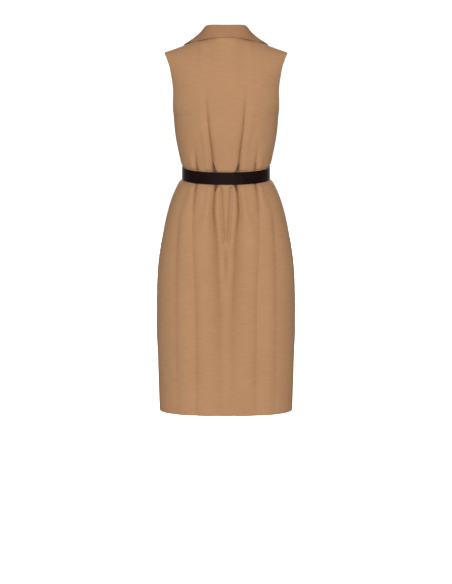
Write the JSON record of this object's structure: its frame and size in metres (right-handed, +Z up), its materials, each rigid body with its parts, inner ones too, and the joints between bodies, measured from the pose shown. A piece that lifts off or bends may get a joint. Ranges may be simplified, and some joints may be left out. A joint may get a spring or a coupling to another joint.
{
  "type": "sleeveless belted shift dress",
  "caption": "Sleeveless knee-length shift dress with a tailored collar, notched lapels and a wrap front, drawn in at the waist by a narrow buckled leather belt, shown filled out.",
  "frame": {"origin": "midway between the two points where the shoulder seams meet the neck, at their height, where the wearer's shoulders carry the dress", "axes": "+Z up towards the head, the front faces -Y, +X is the wearer's left"},
  "size_m": [0.3952, 0.2519, 1.1042],
  "materials": {
    "dress_cloth": "camel suiting cloth with fine crosswise slubs, matt",
    "belt_leather": "very dark brown smooth leather, soft satin",
    "buckle_metal": "dark brushed metal"
  },
  "bodies": {
    "root": {"back_panel": "dress_cloth", "front_left": "dress_cloth", "front_right": "dress_cloth", "lapel_left": "dress_cloth", "lapel_right": "dress_cloth", "collar": "dress_cloth", "belt_strap": "belt_leather", "belt_keeper": "belt_leather", "belt_buckle_frame": "buckle_metal", "belt_buckle_prong": "buckle_metal"}
  },
  "joints": []
}
